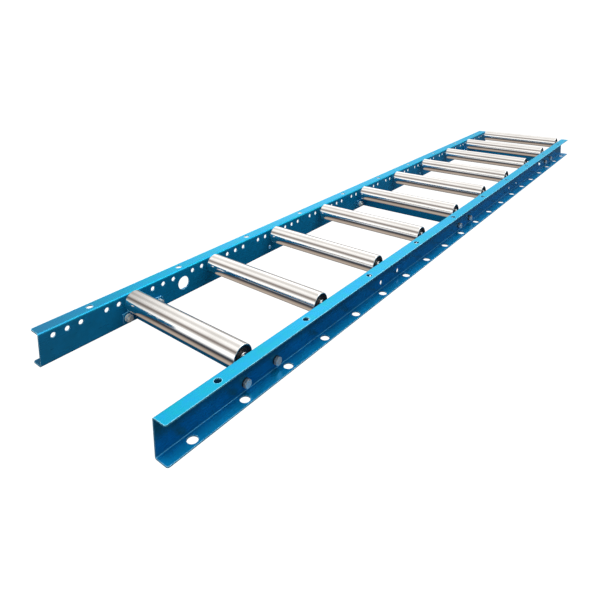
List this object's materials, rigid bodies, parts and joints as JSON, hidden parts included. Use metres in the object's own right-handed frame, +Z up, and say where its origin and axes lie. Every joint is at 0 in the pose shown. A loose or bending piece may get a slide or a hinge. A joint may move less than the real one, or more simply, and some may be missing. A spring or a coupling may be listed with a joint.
{
  "type": "gravity roller conveyor",
  "caption": "Straight gravity roller conveyor: two pressed channel rails joined by bolted cross braces, with zinc-plated steel rollers turning on spring-loaded axles.",
  "frame": {"origin": "middle of the conveyor's bottom, on the plane that the undersides of both side rails stand on", "axes": "+X across the conveyor towards the right-hand rail as seen from the near end; +Y along the conveyor from the near end to the far end; +Z up"},
  "size_m": [0.366, 2, 0.067],
  "materials": {
    "blue_paint": "glossy powder coat, bright blue",
    "zinc_tube": "bright zinc-plated drawn tube, polished",
    "cap_black": "black moulded nylon, slightly glossy",
    "race_steel": "ground bearing steel",
    "ball_steel": "polished bearing balls",
    "axle_steel": "bright drawn steel bar",
    "spring_steel": "oiled spring wire",
    "fastener_zinc": "bright zinc plating"
  },
  "bodies": {
    "frame": {"left_rail": "blue_paint", "right_rail": "blue_paint", "cross_brace_1": "blue_paint", "cross_brace_2": "blue_paint", "cross_brace_3": "blue_paint", "brace_bolts": "fastener_zinc", "brace_nuts": "fastener_zinc", "brace_washers": "fastener_zinc", "bearing_cones": "race_steel", "bearing_balls": "ball_steel", "axle_spring_01": "spring_steel", "axle_spring_02": "spring_steel", "axle_spring_03": "spring_steel", "axle_spring_04": "spring_steel", "axle_spring_05": "spring_steel", "axle_spring_06": "spring_steel", "axle_spring_07": "spring_steel", "axle_spring_08": "spring_steel", "axle_spring_09": "spring_steel", "axle_spring_10": "spring_steel"},
    "roller_01": {"tube_01": "zinc_tube", "end_caps_01": "cap_black", "bearing_cups_01": "race_steel"},
    "axle_01_body": {"axle_01": "axle_steel"},
    "roller_02": {"tube_02": "zinc_tube", "end_caps_02": "cap_black", "bearing_cups_02": "race_steel"},
    "axle_02_body": {"axle_02": "axle_steel"},
    "roller_03": {"tube_03": "zinc_tube", "end_caps_03": "cap_black", "bearing_cups_03": "race_steel"},
    "axle_03_body": {"axle_03": "axle_steel"},
    "roller_04": {"tube_04": "zinc_tube", "end_caps_04": "cap_black", "bearing_cups_04": "race_steel"},
    "axle_04_body": {"axle_04": "axle_steel"},
    "roller_05": {"tube_05": "zinc_tube", "end_caps_05": "cap_black", "bearing_cups_05": "race_steel"},
    "axle_05_body": {"axle_05": "axle_steel"},
    "roller_06": {"tube_06": "zinc_tube", "end_caps_06": "cap_black", "bearing_cups_06": "race_steel"},
    "axle_06_body": {"axle_06": "axle_steel"},
    "roller_07": {"tube_07": "zinc_tube", "end_caps_07": "cap_black", "bearing_cups_07": "race_steel"},
    "axle_07_body": {"axle_07": "axle_steel"},
    "roller_08": {"tube_08": "zinc_tube", "end_caps_08": "cap_black", "bearing_cups_08": "race_steel"},
    "axle_08_body": {"axle_08": "axle_steel"},
    "roller_09": {"tube_09": "zinc_tube", "end_caps_09": "cap_black", "bearing_cups_09": "race_steel"},
    "axle_09_body": {"axle_09": "axle_steel"},
    "roller_10": {"tube_10": "zinc_tube", "end_caps_10": "cap_black", "bearing_cups_10": "race_steel"},
    "axle_10_body": {"axle_10": "axle_steel"}
  },
  "joints": [
    {"name": "roller_01_spin", "type": "hinge", "parent": "frame", "child": "roller_01", "pos_m": [0, -0.825, 0.047], "axis": [1, 0, 0], "continuous": true},
    {"name": "axle_01_push", "type": "slide", "parent": "frame", "child": "axle_01_body", "axis": [-1, 0, 0], "range_m": [0, 0.01], "stiffness_N_per_m": 1500, "springref_m": -0.015, "deforming": ["axle_spring_01"]},
    {"name": "roller_02_spin", "type": "hinge", "parent": "frame", "child": "roller_02", "pos_m": [0, -0.625, 0.047], "axis": [1, 0, 0], "continuous": true},
    {"name": "axle_02_push", "type": "slide", "parent": "frame", "child": "axle_02_body", "axis": [-1, 0, 0], "range_m": [0, 0.01], "stiffness_N_per_m": 1500, "springref_m": -0.015, "deforming": ["axle_spring_02"]},
    {"name": "roller_03_spin", "type": "hinge", "parent": "frame", "child": "roller_03", "pos_m": [0, -0.425, 0.047], "axis": [1, 0, 0], "continuous": true},
    {"name": "axle_03_push", "type": "slide", "parent": "frame", "child": "axle_03_body", "axis": [-1, 0, 0], "range_m": [0, 0.01], "stiffness_N_per_m": 1500, "springref_m": -0.015, "deforming": ["axle_spring_03"]},
    {"name": "roller_04_spin", "type": "hinge", "parent": "frame", "child": "roller_04", "pos_m": [0, -0.225, 0.047], "axis": [1, 0, 0], "continuous": true},
    {"name": "axle_04_push", "type": "slide", "parent": "frame", "child": "axle_04_body", "axis": [-1, 0, 0], "range_m": [0, 0.01], "stiffness_N_per_m": 1500, "springref_m": -0.015, "deforming": ["axle_spring_04"]},
    {"name": "roller_05_spin", "type": "hinge", "parent": "frame", "child": "roller_05", "pos_m": [0, -0.025, 0.047], "axis": [1, 0, 0], "continuous": true},
    {"name": "axle_05_push", "type": "slide", "parent": "frame", "child": "axle_05_body", "axis": [-1, 0, 0], "range_m": [0, 0.01], "stiffness_N_per_m": 1500, "springref_m": -0.015, "deforming": ["axle_spring_05"]},
    {"name": "roller_06_spin", "type": "hinge", "parent": "frame", "child": "roller_06", "pos_m": [0, 0.175, 0.047], "axis": [1, 0, 0], "continuous": true},
    {"name": "axle_06_push", "type": "slide", "parent": "frame", "child": "axle_06_body", "axis": [-1, 0, 0], "range_m": [0, 0.01], "stiffness_N_per_m": 1500, "springref_m": -0.015, "deforming": ["axle_spring_06"]},
    {"name": "roller_07_spin", "type": "hinge", "parent": "frame", "child": "roller_07", "pos_m": [0, 0.375, 0.047], "axis": [1, 0, 0], "continuous": true},
    {"name": "axle_07_push", "type": "slide", "parent": "frame", "child": "axle_07_body", "axis": [-1, 0, 0], "range_m": [0, 0.01], "stiffness_N_per_m": 1500, "springref_m": -0.015, "deforming": ["axle_spring_07"]},
    {"name": "roller_08_spin", "type": "hinge", "parent": "frame", "child": "roller_08", "pos_m": [0, 0.575, 0.047], "axis": [1, 0, 0], "continuous": true},
    {"name": "axle_08_push", "type": "slide", "parent": "frame", "child": "axle_08_body", "axis": [-1, 0, 0], "range_m": [0, 0.01], "stiffness_N_per_m": 1500, "springref_m": -0.015, "deforming": ["axle_spring_08"]},
    {"name": "roller_09_spin", "type": "hinge", "parent": "frame", "child": "roller_09", "pos_m": [0, 0.775, 0.047], "axis": [1, 0, 0], "continuous": true},
    {"name": "axle_09_push", "type": "slide", "parent": "frame", "child": "axle_09_body", "axis": [-1, 0, 0], "range_m": [0, 0.01], "stiffness_N_per_m": 1500, "springref_m": -0.015, "deforming": ["axle_spring_09"]},
    {"name": "roller_10_spin", "type": "hinge", "parent": "frame", "child": "roller_10", "pos_m": [0, 0.975, 0.047], "axis": [1, 0, 0], "continuous": true},
    {"name": "axle_10_push", "type": "slide", "parent": "frame", "child": "axle_10_body", "axis": [-1, 0, 0], "range_m": [0, 0.01], "stiffness_N_per_m": 1500, "springref_m": -0.015, "deforming": ["axle_spring_10"]}
  ]
}
